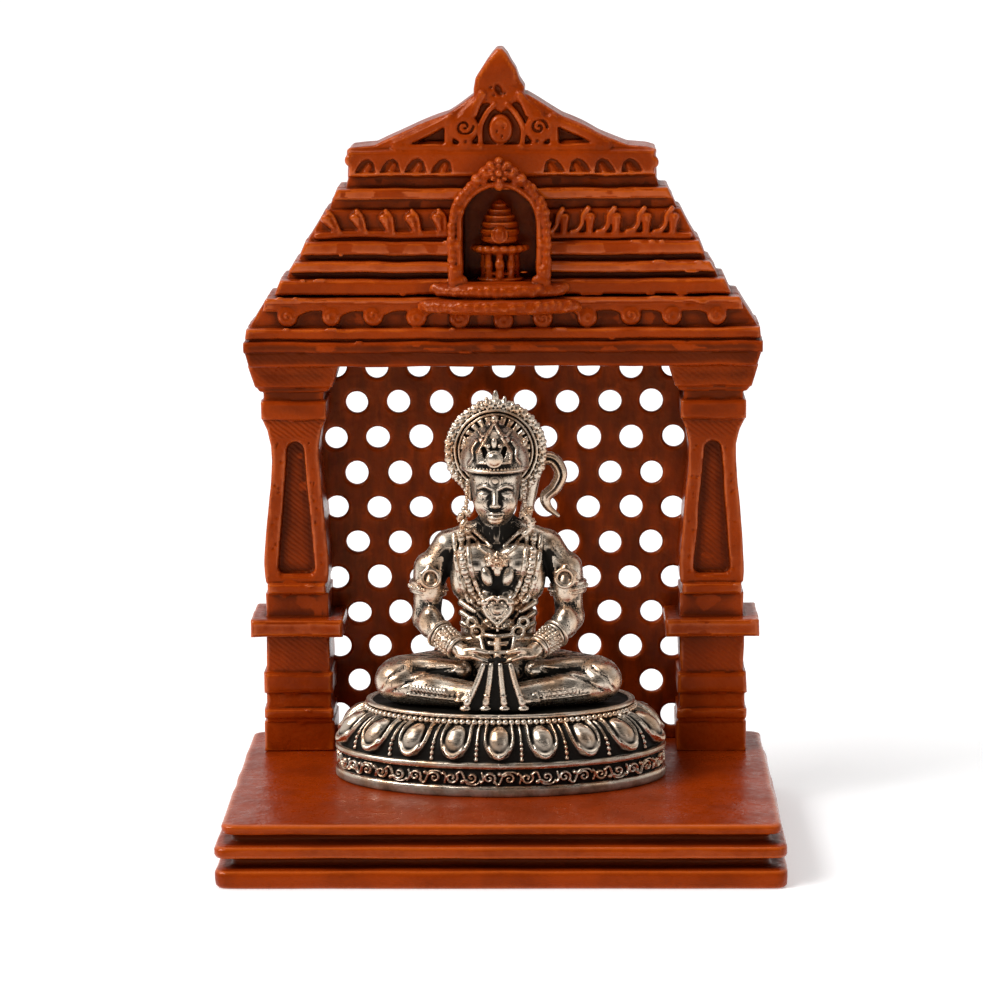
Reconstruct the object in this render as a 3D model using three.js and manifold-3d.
// A small shrine cast in terracotta-coloured resin, with a loose silver statuette seated in its alcove.
// Millimetres, +Z up, X across the front, +Y to the back.
// The origin is the centre of the plinth's underside.
import * as THREE from "three";
import { mergeVertices } from "three/addons/utils/BufferGeometryUtils.js";
import Module from "manifold-3d";

const wasm = await Module();
wasm.setup();

// ---------------------------------------------------------------- driving dimensions

const gap = 0.3; // between pieces whose touching faces are curved or slanted
const slip = 0.15; // side clearance of a panel in its groove and a tenon in its pocket

const plinth = {
  width: 92,
  depth: 65,
  slabWidth: 90,
  slabDepth: 63,
  grooveDepth: 2.6,
  corner: 1.5,
  courseHeight: 3,
  lowerGroove: 2,
  ribHeight: 2,
  upperGroove: 1.6,
  slabHeight: 1.7,
};
const plinthTop = plinth.courseHeight + plinth.lowerGroove + plinth.ribHeight + plinth.upperGroove
  + plinth.slabHeight;

const shrineFront = 16.4; // front face of the pillars
const shrineBack = 28.6; // flat back of the pillars and roof

const pillar = {
  centre: 35.7,
  footHeight: 5.2,
  footWidth: 12.1,
  lowerRoll: 2.5,
  waistHeight: 2.7,
  waistWidth: 11.2,
  upperRoll: 3.9,
  rollWidth: 12,
  rollProud: 0.7,
  blockHeight: 6.5,
  blockWidth: 11,
  shelfHeight: 3.1,
  shelfWidth: 16,
  shelfProud: 2.8,
  dieHeight: 4,
  dieWidth: 10.8,
  sillHeight: 1.9,
  sillWidth: 9.8,
  sillProud: 1,
  shaftHeight: 28.5,
  shaftFoot: 10.6,
  shaftBelly: 11.1,
  shaftNeck: 8.1,
  panelDepth: 1.6,
  panelRise: 1.2,
  panelHeight: 23.6,
  panelFoot: 6.2,
  panelHead: 2.9,
  capHeight: 3.3,
  capWidth: 11.2,
  capNeck: 2,
  capNeckWidth: 9.9,
  flareHeight: 4.2,
  flareFoot: 12.7,
  flareHead: 15.6,
  tenon: 6,
  tenonHeight: 2,
};

const screen = {
  front: 25.4,
  thickness: 1.4,
  tuck: 1.35, // how far its edge reaches into a shaft at the neck
  holeDiameter: 4,
  pitch: 7.3,
  rowPitch: 6.18,
  rows: 11,
  topRowDrop: 1.7,
  holeSides: 8,
};

const lintel = { height: 2.4, footInset: 0.5, headOverhang: 0.2, front: 12.9 };
const cornice = {
  height: 4,
  overhang: 0.4,
  front: 12.4,
  filletHeight: 1.9,
  grooveHeight: 0.4,
  grooveDepth: 1,
  ledgeInset: 0.3,
};

// Each roof course: its height, how far its ends stand in from the cornice's at its foot and head,
// and how far its face stands in front of the backing.
const roofCourses = [
  { name: "eave field", height: 4.3, foot: 0.7, head: 3.5, proud: 3.4 },
  { name: "eave lip", height: 1, foot: 3.5, head: 4.0, proud: 5 },
  { name: "groove", height: 0.4, foot: 5.3, head: 5.5, proud: 1.2 },
  { name: "first band", height: 2.6, foot: 5.3, head: 6.4, proud: 4.2 },
  { name: "groove", height: 1.1, foot: 7.3, head: 7.9, proud: 1.2 },
  { name: "second band", height: 1.8, foot: 7.7, head: 8.8, proud: 3.7 },
  { name: "groove", height: 1.1, foot: 9.3, head: 9.9, proud: 1.2 },
  { name: "third band", height: 2.3, foot: 9.7, head: 10.7, proud: 3.2 },
  { name: "leaf field", height: 5.2, foot: 10.9, head: 14.0, proud: 1.6 },
  { name: "groove", height: 1.9, foot: 14.5, head: 15.3, proud: 0.8 },
  { name: "fillet", height: 1.8, foot: 15.3, head: 16.1, proud: 3 },
  { name: "groove", height: 1.9, foot: 17.5, head: 18.1, proud: 0.8 },
  { name: "arcade field", height: 4.2, foot: 17.9, head: 17.9, proud: 1.6 },
];
const roofBacking = 18; // front of the plain backing behind the courses

const gable = { rise: 7.6, lip: 1.2, lipInset: 1.5, shoulderHalf: 4.6, reliefProud: 1.3, reliefInset: 8.5 };
const finial = { height: 8.6, half: 4.2, proud: 1.2, eyeRadius: 0.7 };

const eaveFrieze = {
  count: 11,
  endMargin: 4.15,
  dropRadius: 1.25,
  neckWidth: 1.1,
  relief: 1.5,
  lip: 0.9,
  hang: 2.3,
  middleHang: 2.95,
};
const leafFrieze = {
  count: 5,
  innerMargin: 2,
  endMargin: 1.1,
  width: 1.9,
  height: 4,
  relief: 0.9,
  rise: 0.3,
  cord: 0.7,
};
const arcade = {
  count: 4,
  margin: 1.1,
  foot: 0.7,
  width: 2.5,
  height: 2.8,
  lean: 0.9,
  relief: 1.4,
  floor: 0.3,
};

const niche = {
  centre: -0.4,
  half: 6.2,
  height: 16,
  depthBehindFace: 6,
  frameWidth: 2.3,
  frameFront: 11.8,
  stringRadius: 0.65,
  stringTurn: 1.25,
  shelfHeight: 2.5,
  shelfHalf: 11.3,
  shelfFront: 10,
  lowerShelfHeight: 2.8,
  lowerShelfHalf: 13.4,
  lowerShelfFront: 9,
};
const pot = {
  centreY: 16.6,
  plateClearance: 1.3,
  stoolInset: 1.3,
  inset: 1.6,
  stoolHeight: 4.5,
  deck: 0.8,
  legInset: 1.2,
  plateHeight: 2.2,
  height: 6.4,
};

const statuetteAt = [-0.5, 1.5]; // centre of the lotus on the plinth
const lotus = {
  half: 27.9,
  aspect: 0.578,
  footRim: 1.9,
  friezeHeight: 2.8,
  friezeDepth: 0.8,
  upperRim: 1.15,
  petalHeight: 5.4,
  petalHeadHalf: 23.3,
  beadHeight: 1.4,
  beadHalf: 22.9,
  rimHeight: 0.6,
  rimHalf: 22.6,
  seatDrop: 0.4,
  seatHalf: 21.4,
};
const drumHeight = lotus.footRim + lotus.friezeHeight + lotus.upperRim;
const beadFoot = drumHeight + lotus.petalHeight;
const rimTop = beadFoot + lotus.beadHeight + lotus.rimHeight;
const seatTop = rimTop - lotus.seatDrop;

const halo = {
  radius: 7.5,
  thickness: 1.2,
  centre: [-0.6, 54.4],
  front: 3.4,
  teeth: 18,
  toothHeight: 0.9,
  crest: 9.8,
};

const resin = new THREE.MeshStandardMaterial({ color: 0x9c3d12, roughness: 0.38, metalness: 0 });
const silver = new THREE.MeshStandardMaterial({ color: 0xb9b2a8, roughness: 0.32, metalness: 1 });

// ---------------------------------------------------------------- solids

// A closed geometry as a solid that can be joined and cut.
function solid(geometry) {
  const bare = geometry.clone();
  bare.deleteAttribute("normal");
  bare.deleteAttribute("uv");
  const merged = mergeVertices(bare, 1e-4);
  return new wasm.Manifold(new wasm.Mesh({
    numProp: 3,
    vertProperties: new Float32Array(merged.attributes.position.array),
    triVerts: new Uint32Array(merged.index.array),
  }));
}

function join(...solids) {
  return solids.flat().reduce((sum, next) => sum.add(next));
}

function cut(body, ...tools) {
  return tools.flat().reduce((rest, tool) => rest.subtract(tool), body);
}

function box(x, y, z) {
  const [width, depth, height] = [x, y, z].map(([low, high]) => high - low);
  const block = new THREE.BoxGeometry(width, depth, height);
  return solid(block.translate(x[0] + width / 2, y[0] + depth / 2, z[0] + height / 2));
}

// A front outline, drawn in X and Z, extruded from one Y to another.
function plate(outline, front, back) {
  const settings = { depth: back - front, bevelEnabled: false, curveSegments: 6 };
  const block = new THREE.ExtrudeGeometry(outline, settings);
  return solid(block.rotateX(Math.PI / 2).translate(0, back, 0));
}

// A plan outline, drawn in X and Y, extruded from one Z to another.
function slab(outline, foot, head) {
  const settings = { depth: head - foot, bevelEnabled: false, curveSegments: 3 };
  const block = new THREE.ExtrudeGeometry(outline, settings);
  return solid(block.translate(0, 0, foot));
}

function polygon(points) {
  return new THREE.Shape(points.map(([x, z]) => new THREE.Vector2(x, z)));
}

function trapezoid(centre, footHalf, headHalf, foot, head) {
  return polygon([
    [centre - footHalf, foot],
    [centre + footHalf, foot],
    [centre + headHalf, head],
    [centre - headHalf, head],
  ]);
}

function roundedRectangle(width, depth, radius) {
  const [x, y] = [width / 2, depth / 2];
  const outline = new THREE.Shape();
  outline.absarc(x - radius, y - radius, radius, 0, Math.PI / 2);
  outline.absarc(-x + radius, y - radius, radius, Math.PI / 2, Math.PI);
  outline.absarc(-x + radius, -y + radius, radius, Math.PI, 1.5 * Math.PI);
  outline.absarc(x - radius, -y + radius, radius, 1.5 * Math.PI, 2 * Math.PI);
  return outline;
}

// An arch outline standing on a sill, with a half-round head.
function arch(centre, half, foot, height) {
  const outline = new THREE.Shape();
  outline.moveTo(centre - half, foot);
  outline.lineTo(centre + half, foot);
  outline.absarc(centre, foot + height - half, half, 0, Math.PI);
  outline.closePath();
  return outline;
}

// A turned shape about Z, squeezed to an oval in plan. The profile is a list of [radius, height].
function turned(profile, [x, y, z], aspect = 1, sides = 36) {
  const points = profile.map(([radius, height]) => new THREE.Vector2(radius, height));
  const lathe = new THREE.LatheGeometry(points, sides);
  return solid(lathe.rotateX(Math.PI / 2).scale(1, aspect, 1).translate(x, y, z));
}

function ball([x, y, z], [rx, ry, rz]) {
  return solid(new THREE.SphereGeometry(1, 12, 8).scale(rx, ry, rz).translate(x, y, z));
}

// A tapered limb with round ends, from one joint to the next.
function limb(from, to, fromRadius, toRadius) {
  const [start, end] = [new THREE.Vector3(...from), new THREE.Vector3(...to)];
  const length = start.distanceTo(end);
  const quarter = [0, 1, 2].map((step) => (step / 2) * (Math.PI / 2));
  const profile = [
    ...quarter.map((angle) => [Math.sin(angle) * fromRadius, -Math.cos(angle) * fromRadius]),
    ...quarter.map((angle) => [Math.cos(angle) * toRadius, length + Math.sin(angle) * toRadius]),
  ];
  const points = profile.map(([radius, height]) => new THREE.Vector2(Math.max(radius, 0), height));
  points[points.length - 1].x = 0;
  const turn = new THREE.Quaternion().setFromUnitVectors(
    new THREE.Vector3(0, 1, 0),
    end.clone().sub(start).normalize(),
  );
  return solid(new THREE.LatheGeometry(points, 10).applyQuaternion(turn).translate(...from));
}

// A round cord through a list of points.
function cord(points, radius, steps) {
  const path = new THREE.CatmullRomCurve3(points.map((point) => new THREE.Vector3(...point)));
  const section = new THREE.Shape().absarc(0, 0, radius, 0, 2 * Math.PI);
  return solid(new THREE.ExtrudeGeometry(section, {
    steps,
    extrudePath: path,
    curveSegments: 3,
    bevelEnabled: false,
  }));
}

const root = new THREE.Group();
const shrine = new THREE.Group();
const statuette = new THREE.Group();
statuette.position.set(...statuetteAt, plinthTop);
root.add(shrine, statuette);

function place(group, material, name, body) {
  const { vertProperties, triVerts } = body.getMesh();
  const geometry = new THREE.BufferGeometry();
  geometry.setAttribute("position", new THREE.BufferAttribute(vertProperties, 3));
  geometry.setIndex(new THREE.BufferAttribute(triVerts, 1));
  geometry.computeVertexNormals();
  const mesh = new THREE.Mesh(geometry, material.clone());
  mesh.name = name;
  group.add(mesh);
}

// ---------------------------------------------------------------- plinth

// A pillar's tenon, or with a clearance the pocket that it sits in.
function tenon(side, foot, head, clearance = 0) {
  const half = pillar.tenon / 2 + clearance;
  const x = side * pillar.centre;
  const y = (shrineFront + shrineBack) / 2;
  return box([x - half, x + half], [y - half, y + half], [foot, head]);
}

function makePlinth() {
  const inset = 2 * plinth.grooveDepth;
  const outer = roundedRectangle(plinth.width, plinth.depth, plinth.corner);
  const inner = roundedRectangle(plinth.width - inset, plinth.depth - inset, plinth.corner);
  const top = roundedRectangle(plinth.slabWidth, plinth.slabDepth, plinth.corner);
  const courses = [
    [outer, plinth.courseHeight],
    [inner, plinth.lowerGroove],
    [outer, plinth.ribHeight],
    [inner, plinth.upperGroove],
    [top, plinth.slabHeight],
  ];
  const layers = [];
  let foot = 0;
  for (const [outline, height] of courses) {
    layers.push(slab(outline, foot, foot + height));
    foot += height;
  }
  const pockets = [-1, 1].map((side) => tenon(side, plinthTop - pillar.tenonHeight, plinthTop + 1, slip));
  return cut(join(layers), pockets);
}
place(shrine, resin, "plinth", makePlinth());

// ---------------------------------------------------------------- pillars

const pedestalTop = plinthTop + pillar.footHeight + pillar.lowerRoll + pillar.waistHeight + pillar.upperRoll
  + pillar.blockHeight;
const shelfTop = pedestalTop + pillar.shelfHeight;
const shaftFoot = shelfTop + pillar.dieHeight + pillar.sillHeight;
const shaftTop = shaftFoot + pillar.shaftHeight;
const capitalTop = shaftTop + pillar.capHeight + pillar.capNeck + pillar.flareHeight;
const lintelFoot = capitalTop;

// The groove that the screen's edge stands in.
const screenHalf = pillar.centre - pillar.shaftNeck / 2 + screen.tuck;
const screenGroove = box(
  [-screenHalf - slip, screenHalf + slip],
  [screen.front - slip, screen.front + screen.thickness + slip],
  [plinthTop - 1, lintelFoot + 1],
);

function pillarBlock(side, width, foot, height, proud = 0) {
  const x = side * pillar.centre;
  return box([x - width / 2, x + width / 2], [shrineFront - proud, shrineBack], [foot, foot + height]);
}

function pedestal(side) {
  const steps = [
    [pillar.footWidth, pillar.footHeight, 0],
    [pillar.rollWidth, pillar.lowerRoll, pillar.rollProud],
    [pillar.waistWidth, pillar.waistHeight, 0],
    [pillar.rollWidth, pillar.upperRoll, pillar.rollProud],
    [pillar.blockWidth, pillar.blockHeight, 0],
  ];
  const blocks = [];
  let foot = plinthTop;
  for (const [width, height, proud] of steps) {
    blocks.push(pillarBlock(side, width, foot, height, proud));
    foot += height;
  }
  return cut(join(blocks, tenon(side, plinthTop - pillar.tenonHeight + slip, plinthTop + 1)), screenGroove);
}

// The shaft's swelling outline, at a share of its height from the foot.
function shaftHalf(share) {
  const rise = Math.min(share / 0.12, 1);
  const belly = pillar.shaftFoot + (pillar.shaftBelly - pillar.shaftFoot) * Math.sin((rise * Math.PI) / 2);
  const taper = share < 0.12 ? 0 : 0.5 - 0.5 * Math.cos(Math.PI * Math.min((share - 0.12) / 0.71, 1));
  return (belly - (pillar.shaftBelly - pillar.shaftNeck) * taper) / 2;
}

function shaft(side) {
  const x = side * pillar.centre;
  const shares = [0, 0.06, 0.12, 0.3, 0.45, 0.6, 0.75, 0.83, 0.92, 1];
  const edge = (sign) => shares.map((share) => [
    x + sign * shaftHalf(share),
    shaftFoot + share * pillar.shaftHeight,
  ]);
  const body = plate(polygon([...edge(1), ...edge(-1).reverse()]), shrineFront, shrineBack);
  const headHalf = pillar.panelHead / 2;
  const panelFoot = shaftFoot + pillar.panelRise;
  const panelShoulder = panelFoot + pillar.panelHeight - headHalf;
  const panel = new THREE.Shape();
  panel.moveTo(x - pillar.panelFoot / 2, panelFoot);
  panel.lineTo(x + pillar.panelFoot / 2, panelFoot);
  panel.lineTo(x + headHalf, panelShoulder);
  panel.absarc(x, panelShoulder, headHalf, 0, Math.PI);
  const recess = plate(panel, shrineFront - 1, shrineFront + pillar.panelDepth);
  const die = pillarBlock(side, pillar.dieWidth, shelfTop, pillar.dieHeight);
  const sillFoot = shelfTop + pillar.dieHeight;
  const sill = pillarBlock(side, pillar.sillWidth, sillFoot, pillar.sillHeight, pillar.sillProud);
  return cut(join(cut(body, recess), die, sill), screenGroove);
}

function capital(side) {
  const x = side * pillar.centre;
  const flareFoot = capitalTop - pillar.flareHeight;
  const flare = plate(
    trapezoid(x, pillar.flareFoot / 2, pillar.flareHead / 2, flareFoot, capitalTop),
    shrineFront - pillar.rollProud,
    shrineBack,
  );
  const cap = pillarBlock(side, pillar.capWidth, shaftTop, pillar.capHeight, pillar.rollProud);
  const neck = pillarBlock(side, pillar.capNeckWidth, shaftTop + pillar.capHeight, pillar.capNeck);
  const peg = tenon(side, capitalTop - 1, capitalTop + pillar.tenonHeight - slip);
  return cut(join(cap, neck, flare, peg), screenGroove);
}

for (const [side, hand] of [[-1, "left"], [1, "right"]]) {
  place(shrine, resin, `pedestal_${hand}`, pedestal(side));
  const shelf = pillarBlock(side, pillar.shelfWidth, pedestalTop, pillar.shelfHeight, pillar.shelfProud);
  place(shrine, resin, `pillar_shelf_${hand}`, cut(shelf, screenGroove));
  place(shrine, resin, `pillar_shaft_${hand}`, shaft(side));
  place(shrine, resin, `capital_${hand}`, capital(side));
}

// ---------------------------------------------------------------- pierced screen

function makeScreen() {
  const back = screen.front + screen.thickness;
  const panel = box([-screenHalf, screenHalf], [screen.front, back], [plinthTop, lintelFoot]);
  const radius = screen.holeDiameter / 2;
  const holes = [];
  for (let row = 0; row < screen.rows; row += 1) {
    const z = lintelFoot - screen.topRowDrop - row * screen.rowPitch;
    const count = row % 2 === 0 ? 9 : 8;
    for (let hole = 0; hole < count; hole += 1) {
      const x = (hole - (count - 1) / 2) * screen.pitch;
      const pin = new THREE.CylinderGeometry(radius, radius, 3 * screen.thickness, screen.holeSides);
      holes.push(solid(pin.translate(x, (screen.front + back) / 2, z)));
    }
  }
  return cut(panel, holes);
}
place(shrine, resin, "pierced_screen", makeScreen());

// ---------------------------------------------------------------- lintel, cornice and roof

const corniceFoot = lintelFoot + lintel.height;
const roofFoot = corniceFoot + cornice.height;

const capitalEdge = pillar.centre + pillar.flareHead / 2;
const lintelBeam = plate(
  trapezoid(0, capitalEdge - lintel.footInset, capitalEdge + lintel.headOverhang, lintelFoot, corniceFoot),
  lintel.front,
  shrineBack,
);
const lintelPockets = [-1, 1].map((side) => (
  tenon(side, lintelFoot - 1, lintelFoot + pillar.tenonHeight, slip)
));
place(shrine, resin, "lintel", cut(lintelBeam, lintelPockets));

const corniceHalf = capitalEdge + cornice.overhang;
function corniceCourse(inset, foot, height) {
  const half = corniceHalf - inset;
  return box([-half, half], [cornice.front + inset, shrineBack], [foot, foot + height]);
}
const grooveFoot = corniceFoot + cornice.filletHeight;
const ledgeFoot = grooveFoot + cornice.grooveHeight;
place(shrine, resin, "cornice", join(
  corniceCourse(0, corniceFoot, cornice.filletHeight),
  corniceCourse(cornice.grooveDepth, grooveFoot, cornice.grooveHeight),
  corniceCourse(cornice.ledgeInset, ledgeFoot, roofFoot - ledgeFoot),
));

// Where each roof course starts and ends in Z.
const courses = [];
let courseFoot = roofFoot;
for (const { name, height, foot, head, proud } of roofCourses) {
  courses.push({
    name,
    foot: corniceHalf - foot,
    head: corniceHalf - head,
    z: [courseFoot, courseFoot + height],
    front: roofBacking - proud,
  });
  courseFoot += height;
}
const course = (name) => courses.find((entry) => entry.name === name);
const gableFoot = courseFoot;
const gableHalf = course("arcade field").head;
const gableFace = course("arcade field").front;
const gableShoulder = gableFoot + gable.lip + gable.rise;

const gableOutline = polygon([
  [-gableHalf, gableFoot],
  [gableHalf, gableFoot],
  [gableHalf - gable.lipInset, gableFoot + gable.lip],
  [gable.shoulderHalf, gableShoulder],
  [-gable.shoulderHalf, gableShoulder],
  [-gableHalf + gable.lipInset, gableFoot + gable.lip],
]);

const nicheFoot = course("first band").z[1] - 0.45;
const frameHalf = niche.half + niche.frameWidth;
const frameHeight = niche.height + niche.frameWidth;
const frameBack = course("leaf field").front + 0.4;
const nicheBack = course("leaf field").front + niche.depthBehindFace;

function makeRoof() {
  const bars = courses.map(({ foot, head, z, front }) => (
    plate(trapezoid(0, foot, head, ...z), front, shrineBack)
  ));
  const backingPoints = courses
    .filter(({ name }) => name !== "groove")
    .flatMap(({ foot, head, z }) => [[foot, z[0]], [head, z[1]]]);
  const mirrored = backingPoints.map(([x, z]) => [-x, z]).reverse();
  const backing = plate(polygon([...backingPoints, ...mirrored]), roofBacking, shrineBack);
  const gableWall = plate(gableOutline, gableFace, shrineBack);
  const framePocket = plate(
    arch(niche.centre, frameHalf + gap, nicheFoot, frameHeight + gap),
    course("eave lip").front - 1,
    frameBack,
  );
  const cavity = plate(arch(niche.centre, niche.half, nicheFoot, niche.height), frameBack - 1, nicheBack);
  return cut(join(bars, backing, gableWall), framePocket, cavity);
}
place(shrine, resin, "roof_body", makeRoof());

// ---------------------------------------------------------------- roof ornament

function makeEaveFrieze() {
  const field = course("eave field");
  const back = field.front;
  const front = back - eaveFrieze.relief;
  const lip = box([-field.head, field.head], [front, back], [field.z[1] - eaveFrieze.lip, field.z[1]]);
  const pitch = (2 * (field.head - eaveFrieze.endMargin)) / (eaveFrieze.count - 1);
  const drops = [];
  for (let index = 0; index < eaveFrieze.count; index += 1) {
    const step = index - (eaveFrieze.count - 1) / 2;
    const x = step * pitch;
    const hang = Math.abs(step) < 4 ? eaveFrieze.middleHang : eaveFrieze.hang;
    const z = field.z[1] - hang;
    const disc = new THREE.Shape().absarc(x, z, eaveFrieze.dropRadius, 0, 2 * Math.PI);
    drops.push(plate(disc, front, back));
    const half = eaveFrieze.neckWidth / 2;
    drops.push(box([x - half, x + half], [front, back], [z, field.z[1] - eaveFrieze.lip / 2]));
  }
  return join(lip, drops);
}
place(shrine, resin, "eave_frieze", makeEaveFrieze());

function makeLeafFrieze(side) {
  const field = course("leaf field");
  const back = field.front;
  const front = back - leafFrieze.relief;
  const inner = side * (frameHalf + leafFrieze.innerMargin);
  const outer = side * (field.head - leafFrieze.endMargin);
  const pitch = (outer - inner) / (leafFrieze.count - 1);
  const cordFoot = field.z[0] + leafFrieze.rise;
  const reach = [Math.min(inner, outer), Math.max(inner, outer)];
  const swag = box(reach, [front, back], [cordFoot, cordFoot + leafFrieze.cord]);
  const leaves = [];
  for (let index = 0; index < leafFrieze.count; index += 1) {
    const x = inner + index * pitch;
    const leaf = new THREE.Shape().absellipse(
      x,
      cordFoot + leafFrieze.height / 2,
      leafFrieze.width / 2,
      leafFrieze.height / 2,
      0,
      2 * Math.PI,
    );
    leaves.push(plate(leaf, front, back));
  }
  return join(swag, leaves);
}
place(shrine, resin, "leaf_frieze_left", makeLeafFrieze(-1));
place(shrine, resin, "leaf_frieze_right", makeLeafFrieze(1));

function makeArcade(side) {
  const field = course("arcade field");
  const back = field.front;
  const front = back - arcade.relief;
  const inner = frameHalf + Math.abs(niche.centre) + 2 * gap;
  const strip = box(side > 0 ? [inner, field.head] : [-field.head, -inner], [front, back], field.z);
  const pitch = (field.head - inner - arcade.margin) / arcade.count;
  const openings = [];
  for (let index = 0; index < arcade.count; index += 1) {
    const x = side * (inner + arcade.margin + index * pitch);
    const lean = side * arcade.lean;
    const foot = field.z[0] + arcade.foot;
    const reach = side * arcade.width;
    openings.push(plate(
      polygon([
        [x, foot],
        [x + reach, foot],
        [x + reach + lean * 0.5, foot + arcade.height * 0.6],
        [x + reach * 0.6 + lean, foot + arcade.height],
        [x + lean, foot + arcade.height * 0.8],
      ]),
      front - 1,
      back - arcade.floor,
    ));
  }
  return cut(strip, openings);
}
place(shrine, resin, "gable_arcade_left", makeArcade(-1));
place(shrine, resin, "gable_arcade_right", makeArcade(1));

function makeFretwork() {
  const front = gableFace - gable.reliefProud;
  const foot = gableFoot + 0.4;
  const half = gableHalf - gable.reliefInset;
  const panel = plate(
    polygon([
      [-half, foot],
      [half, foot],
      [half - 2, foot + 1.8],
      [gable.shoulderHalf, gableShoulder - 0.8],
      [-gable.shoulderHalf, gableShoulder - 0.8],
      [2 - half, foot + 1.8],
    ]),
    front,
    gableFace,
  );
  const recesses = [-1, 1].flatMap((side) => [
    plate(
      polygon([[side * 9.2, foot + 0.8], [side * (half - 3.9), foot + 0.8], [side * 9.2, foot + 3.9]]),
      front - 1,
      gableFace - 0.3,
    ),
    plate(
      polygon([
        [side * 0.7, foot + 1],
        [side * 3.9, foot + 1],
        [side * 3.3, foot + 4.2],
        [side * 1.5, foot + 6.6],
      ]),
      front - 1,
      gableFace - 0.3,
    ),
  ]);
  const egg = new THREE.Shape().absellipse(0, foot + 3, 2, 2.4, 0, 2 * Math.PI);
  return join(cut(panel, recesses), plate(egg, front - 0.4, gableFace - 0.6));
}
place(shrine, resin, "gable_fretwork", makeFretwork());

function makeFinial() {
  const foot = gableShoulder;
  const head = foot + finial.height;
  const outline = new THREE.Shape();
  outline.moveTo(-gable.shoulderHalf, foot);
  outline.lineTo(gable.shoulderHalf, foot);
  outline.quadraticCurveTo(finial.half, foot + finial.height * 0.45, 1.2, head - 1);
  outline.quadraticCurveTo(0, head + 1, -1.2, head - 1);
  outline.quadraticCurveTo(-finial.half, foot + finial.height * 0.45, -gable.shoulderHalf, foot);
  const eye = new THREE.Shape().absarc(-0.3, foot + 3, finial.eyeRadius, 0, 2 * Math.PI);
  const front = gableFace - finial.proud;
  return cut(plate(outline, front, shrineBack - 4), plate(eye, front - 1, front + 1));
}
place(shrine, resin, "finial", makeFinial());

// ---------------------------------------------------------------- niche

const upperShelfFoot = nicheFoot - niche.shelfHeight;
const lowerShelfFoot = upperShelfFoot - niche.lowerShelfHeight;

// A shelf with a bowed front.
function bowedShelf(half, front, back, foot, head) {
  const outline = new THREE.Shape();
  outline.absellipse(niche.centre, back, half, back - front, Math.PI, 2 * Math.PI);
  outline.closePath();
  return slab(outline, foot, head);
}

const frameArch = arch(niche.centre, frameHalf, nicheFoot, frameHeight);
const openingArch = arch(niche.centre, niche.half, nicheFoot - 1, niche.height + 1);
place(shrine, resin, "niche_frame", cut(
  plate(frameArch, niche.frameFront, frameBack),
  plate(openingArch, niche.frameFront - 1, frameBack + 1),
));

// A string of beads that follows the outer edge of the arch from its foot up to the crest.
function makeBeadString(side) {
  const radius = frameHalf - niche.stringRadius;
  const springing = nicheFoot + frameHeight - frameHalf;
  const y = niche.frameFront - niche.stringRadius - gap / 2;
  const points = [0.2, 0.5].map((share) => [
    niche.centre + side * radius,
    y,
    nicheFoot + (springing - nicheFoot) * share,
  ]);
  for (let step = 0; step <= 4; step += 1) {
    const angle = (step / 4) * niche.stringTurn;
    points.push([niche.centre + side * radius * Math.cos(angle), y, springing + radius * Math.sin(angle)]);
  }
  return cord(points, niche.stringRadius, 12);
}

const crestAt = [niche.centre, niche.frameFront - 0.2, nicheFoot + frameHeight + 0.1];
function crest(grow) {
  const [x, y, z] = crestAt;
  return join(
    ball([x, y, z], [2.2 + grow, 1.5 + grow, 2.4 + grow]),
    ball([x - 2.3, y, z - 0.5], [2 + grow, 1.1 + grow, 1.4 + grow]),
    ball([x + 2.3, y, z - 0.5], [2 + grow, 1.1 + grow, 1.4 + grow]),
  );
}
place(shrine, resin, "niche_bead_string_left", cut(makeBeadString(-1), crest(gap)));
place(shrine, resin, "niche_bead_string_right", cut(makeBeadString(1), crest(gap)));
const crestBacking = box(
  [-frameHalf, frameHalf],
  [niche.frameFront - 0.05, shrineBack],
  [nicheFoot, gableShoulder],
);
place(shrine, resin, "niche_crest", cut(crest(0), crestBacking));

place(shrine, resin, "niche_shelf_upper", bowedShelf(
  niche.shelfHalf,
  niche.shelfFront,
  course("first band").front,
  upperShelfFoot,
  nicheFoot,
));
place(shrine, resin, "niche_shelf_lower", bowedShelf(
  niche.lowerShelfHalf,
  niche.lowerShelfFront,
  course("eave lip").front,
  lowerShelfFoot,
  upperShelfFoot,
));

const plateHalf = niche.half - pot.plateClearance;
const stoolHalf = plateHalf - pot.stoolInset;
const potRadius = plateHalf - pot.inset;
const stoolTop = nicheFoot + pot.stoolHeight;
const plateTop = stoolTop + pot.plateHeight;
function makeStool() {
  const at = [niche.centre, pot.centreY];
  const disc = [[0, 0], [stoolHalf, 0], [stoolHalf, pot.deck], [0, pot.deck]];
  const deck = turned(disc, [...at, stoolTop - pot.deck], 0.65, 16);
  const legs = [-1, 0, 1].map((side) => limb(
    [at[0] + side * (stoolHalf - pot.legInset), at[1] - 1, nicheFoot + pot.deck],
    [at[0] + side * (stoolHalf - pot.legInset), at[1] - 1, stoolTop - pot.deck],
    0.75,
    0.6,
  ));
  const base = turned(disc, [...at, nicheFoot], 0.65, 16);
  return join(deck, legs, base);
}
place(shrine, resin, "niche_stool", makeStool());
place(shrine, resin, "niche_plate", turned(
  [[0, 0], [plateHalf - 1.2, 0], [plateHalf, 0.8], [plateHalf, 1.5], [plateHalf - 0.8, pot.plateHeight],
    [0, pot.plateHeight]],
  [niche.centre, pot.centreY, stoolTop],
  0.65,
  24,
));
place(shrine, resin, "niche_pot", turned(
  [[0, 0], [potRadius * 0.85, 0], [potRadius, 1.2], [potRadius, 2.4], [potRadius * 0.72, 3.9],
    [potRadius * 0.3, 5.4], [0.3, pot.height - 0.2], [0, pot.height]],
  [niche.centre, pot.centreY, plateTop],
  0.9,
  20,
));

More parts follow.
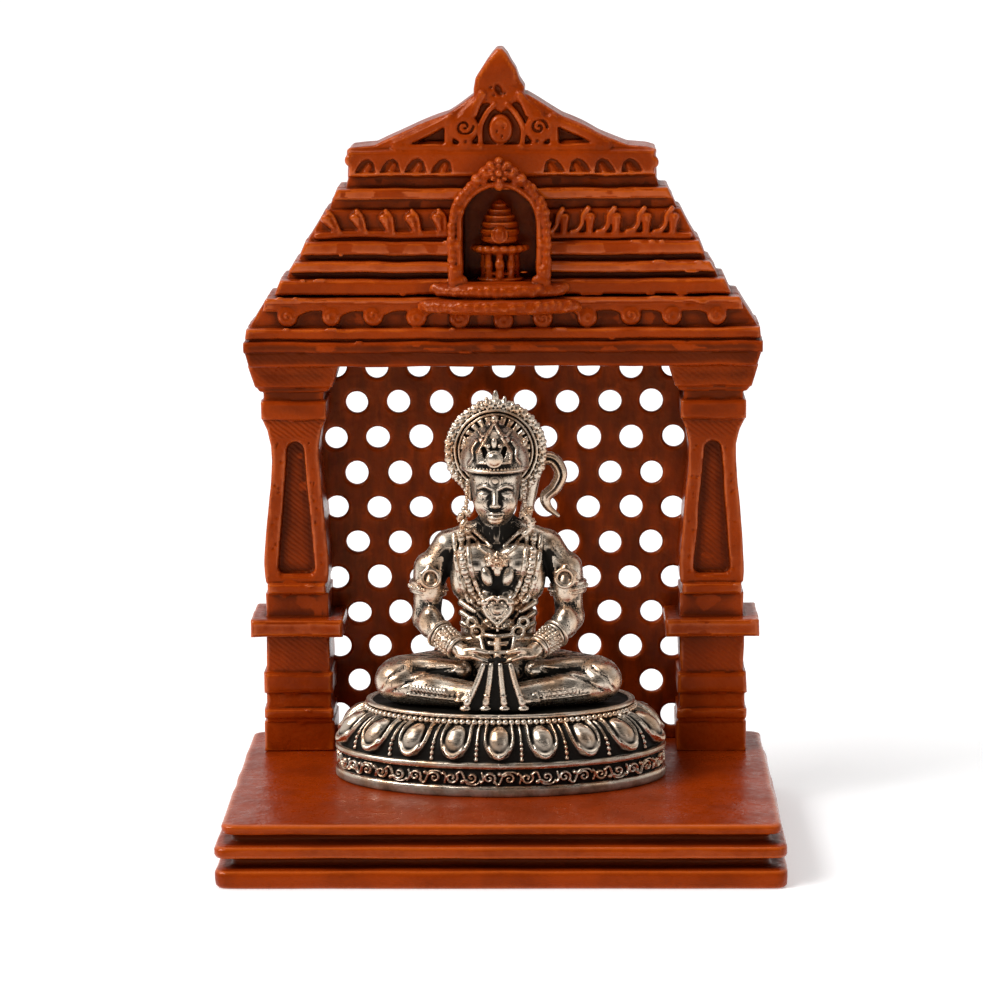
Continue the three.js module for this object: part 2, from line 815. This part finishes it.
// ---------------------------------------------------------------- lotus seat of the statuette

const friezeHalf = lotus.half - lotus.friezeDepth;
place(statuette, silver, "lotus_drum", turned(
  [
    [0, 0],
    [lotus.half - 0.4, 0],
    [lotus.half, 0.5],
    [lotus.half, lotus.footRim - 0.4],
    [friezeHalf, lotus.footRim],
    [friezeHalf, lotus.footRim + lotus.friezeHeight],
    [lotus.half, drumHeight - lotus.upperRim + 0.3],
    [lotus.half, drumHeight - 0.3],
    [lotus.half - 0.4, drumHeight],
    [0, drumHeight],
  ],
  [0, 0, 0],
  lotus.aspect,
));
place(statuette, silver, "lotus_petals", turned(
  [
    [0, drumHeight],
    [lotus.half - 0.9, drumHeight],
    [lotus.half - 1.2, drumHeight + 1.8],
    [lotus.petalHeadHalf + 1.4, beadFoot - 1],
    [lotus.petalHeadHalf, beadFoot],
    [0, beadFoot],
  ],
  [0, 0, 0],
  lotus.aspect,
));
place(statuette, silver, "lotus_bead_rim", turned(
  [
    [lotus.seatHalf, beadFoot],
    [lotus.beadHalf, beadFoot],
    [lotus.beadHalf, beadFoot + lotus.beadHeight],
    [lotus.rimHalf, beadFoot + lotus.beadHeight],
    [lotus.rimHalf, rimTop],
    [lotus.seatHalf, rimTop],
    [lotus.seatHalf, beadFoot],
  ],
  [0, 0, 0],
  lotus.aspect,
));
place(statuette, silver, "lotus_seat", turned(
  [[0, beadFoot], [lotus.seatHalf - gap, beadFoot], [lotus.seatHalf - gap, seatTop], [0, seatTop]],
  [0, 0, 0],
  lotus.aspect,
));

// ---------------------------------------------------------------- figure

// The figure's own heights count from a datum this far below the seat, so that it moves with the seat.
const figureSeat = 12.85;
const figure = new THREE.Group();
figure.position.z = seatTop - figureSeat;
statuette.add(figure);

// Each form is a list of round shapes: a ball is [centre, radii], a limb [joint, joint, radius, radius].
const middle = -0.3;
const mirror = ([x, y, z]) => [2 * middle - x, y, z];
const mirrorForm = (form) => form.map((shape) => shape.map((item, index) => (
  index === 0 || (shape.length === 4 && index === 1) ? mirror(item) : item
)));

const torsoForm = [
  [[middle, 2.5, 18], [8.4, 5.6, 4.8]],
  [[middle, 1.5, 25.5], [6.5, 4.2, 7.5]],
  [[middle, 1, 34.2], [8, 4.9, 6.4]],
  [[-8.6, 1.4, 37.6], [8, 1.4, 37.6], 3, 3],
  [[-0.4, 1.4, 38], [-0.6, 1, 43.5], 3, 2.8],
];
const legForm = [
  [[-5.5, 2, 17.6], [-16.4, -1.6, 17.1], 4.4, 4.1],
  [[-16.2, -3.6, 16.4], [-1, -8, 15.6], 3.3, 2.4],
];
const legsForm = [...legForm, ...mirrorForm(legForm), [[-6, -8, 15.6], [4.5, -8, 15.6], 2.4, 2.4]];
const armForm = [
  [[-11.2, 1.4, 37.1], [3.6, 3.4, 3.8]],
  [[-11.6, 1.4, 36.6], [-12, 0.6, 27], 2.9, 2.6],
  [[-12, 0.6, 27], [-8.6, -5.6, 24.2], 2.6, 1.8],
  [[-8.6, -5.6, 24.2], [-2.6, -7.9, 22], 1.7, 1.3],
];
const armForms = { left: armForm, right: mirrorForm(armForm) };
const headForm = [
  [[-0.6, 0.7, 50.3], [4.6, 5.2, 6]],
  [[-0.6, -1, 46.4], [3.7, 3.6, 4]],
  [[-0.6, -4.3, 47.8], [-0.6, -4.5, 47.2], 0.6, 0.7],
];

function formOf(form, grow = 0) {
  return join(form.map((shape) => (
    shape.length === 4
      ? limb(shape[0], shape[1], shape[2] + grow, shape[3] + grow)
      : ball(shape[0], shape[1].map((radius) => radius + grow))
  )));
}

const belowSeat = box([-30, 30], [-20, 20], [-5, figureSeat]);
const grown = {
  torso: formOf(torsoForm, gap),
  legs: formOf(legsForm, gap),
  left: formOf(armForms.left, gap),
  right: formOf(armForms.right, gap),
  head: formOf(headForm, gap),
};

place(figure, silver, "torso", cut(formOf(torsoForm), belowSeat));
place(figure, silver, "folded_legs", cut(formOf(legsForm), grown.torso, belowSeat));
for (const hand of ["left", "right"]) {
  place(figure, silver, `arm_${hand}`, cut(formOf(armForms[hand]), grown.torso, grown.legs));
}
place(figure, silver, "head", cut(formOf(headForm), grown.torso));

// ---------------------------------------------------------------- crown, halo and tail

const crownProfile = (grow) => [
  [0, 51.4],
  [5 + grow, 51.4],
  [5.7 + grow, 52.6],
  [5.7 + grow, 54.4],
  [4.9 + grow, 56.2],
  [3.2 + grow, 57.6],
  [1.5 + grow, 58.7 + grow],
  [0, 59.6 + grow],
];
const crownAt = [-0.7, 0.6, 0];
place(figure, silver, "crown", cut(turned(crownProfile(0), crownAt, 0.95, 24), grown.head));
const grownCrown = turned(crownProfile(gap), crownAt, 0.95, 24);

function haloOutline(radius) {
  const [x, z] = halo.centre;
  const points = [];
  for (let tooth = 0; tooth < halo.teeth; tooth += 1) {
    const angle = (tooth / halo.teeth) * 2 * Math.PI - Math.PI / 2;
    const half = Math.PI / halo.teeth;
    points.push([x + radius * Math.cos(angle - half), z + radius * Math.sin(angle - half)]);
    const tip = radius + halo.toothHeight;
    points.push([x + tip * Math.cos(angle), z + tip * Math.sin(angle)]);
  }
  return polygon(points);
}
const haloBack = halo.front + halo.thickness;
const haloDisc = plate(haloOutline(halo.radius), halo.front, haloBack);
place(figure, silver, "halo", cut(haloDisc, grown.head, grownCrown, grown.torso));

const crestFoot = halo.centre[1] + halo.radius + halo.toothHeight + gap / 2;
place(figure, silver, "halo_crest", plate(
  polygon([
    [halo.centre[0] - 0.9, crestFoot],
    [halo.centre[0] + 0.9, crestFoot],
    [halo.centre[0] + 0.7, crestFoot + 0.8],
    [halo.centre[0], halo.centre[1] + halo.crest + 0.1],
    [halo.centre[0] - 0.7, crestFoot + 0.8],
  ]),
  halo.front,
  haloBack,
));

const tailY = haloBack + gap + 0.8;
place(figure, silver, "tail", cut(cord(
  [
    [2, 9, figureSeat + 0.9],
    [1, 9.4, 18],
    [1.4, 8.8, 24],
    [2.5, 7.6, 34],
    [4.5, tailY + 0.4, 43],
    [6, tailY, 50.6],
    [7.3, tailY, 52.9],
    [9.2, tailY, 52.7],
    [10.4, tailY, 50.4],
    [9.4, tailY, 48],
    [7.7, tailY, 46.4],
    [8.2, tailY, 44.6],
    [9.9, tailY, 43.3],
  ],
  0.75,
  30,
), grown.torso, belowSeat));

// ---------------------------------------------------------------- dress and jewellery

// A cuff round an arm: the part of a fatter limb between two planes across the arm.
function cuff(hand, joint, share, height, width) {
  const form = armForms[hand][joint];
  const [start, end] = [new THREE.Vector3(...form[0]), new THREE.Vector3(...form[1])];
  const direction = end.clone().sub(start).normalize();
  const turn = new THREE.Quaternion().setFromUnitVectors(new THREE.Vector3(0, 1, 0), direction);
  const centre = start.clone().lerp(end, share);
  const radius = form[2] + (form[3] - form[2]) * share;
  const wall = radius + gap + width;
  const profile = [[0, -height / 2], [wall, -height / 2], [wall, height / 2], [0, height / 2]];
  const points = profile.map(([x, y]) => new THREE.Vector2(x, y));
  const ring = new THREE.LatheGeometry(points, 16).applyQuaternion(turn).translate(...centre.toArray());
  return cut(solid(ring), grown[hand], grown.torso, grown.legs);
}
for (const hand of ["left", "right"]) {
  place(figure, silver, `armlet_${hand}`, cuff(hand, 1, 0.42, 1.8, 0.6));
  place(figure, silver, `bracelet_${hand}`, cuff(hand, 2, 0.8, 1.8, 0.6));
}

// A cord that lies on the chest, from one shoulder to the other through its lowest point.
function chestCord(halfPoints, radius) {
  const right = halfPoints.slice(0, -1).map(mirror).reverse();
  return cord([...halfPoints, ...right], radius, 18);
}
const garland = chestCord([
  [-5.3, -2.6, 40.2],
  [-5.2, -3.9, 36.5],
  [-3.6, -5, 32.5],
  [middle, -5.2, 28.6],
], 0.75);
const necklace = chestCord([
  [-3.4, -2.2, 41.2],
  [-2.4, -4.4, 38.8],
  [middle, -5.2, 37.6],
], 0.6);
place(figure, silver, "garland", cut(garland, grown.torso, grown.head));
place(figure, silver, "necklace", cut(necklace, grown.torso, grown.head));

function pendant([x, y, z], half, thickness) {
  const outline = polygon([
    [x, z - half * 1.3],
    [x + half, z],
    [x + half * 0.6, z + half],
    [x - half * 0.6, z + half],
    [x - half, z],
  ]);
  return plate(outline, y - thickness, y);
}
place(figure, silver, "garland_pendant", pendant([middle, -6.1, 29.4], 2, 0.8));
place(figure, silver, "necklace_pendant", pendant([middle, -6, 37.6], 1.7, 0.7));

place(figure, silver, "belt", cut(
  turned([[0, 20.4], [7.6, 20.4], [7.6, 22.8], [0, 22.8]], [middle, 1.6, 0], 0.72, 24),
  grown.torso,
  grown.legs,
  grown.left,
  grown.right,
));

function makeSash() {
  const back = -10.2;
  const sheet = plate(
    polygon([[-6.6, figureSeat + 0.3], [5.4, figureSeat + 0.3], [2.2, 20.4], [-2.8, 20.4]]),
    back - 1.1,
    back,
  );
  return cut(sheet, grown.legs, grown.left, grown.right);
}
place(figure, silver, "sash", makeSash());

for (const [side, hand] of [[-1, "left"], [1, "right"]]) {
  const x = -0.6 + side * 5.5;
  place(figure, silver, `ear_drop_${hand}`, cut(
    limb([x, 0.4, 50.2], [x, 0.2, 44.6], 0.6, 0.8),
    grown.head,
    grown.torso,
    grownCrown,
  ));
}

export default root;
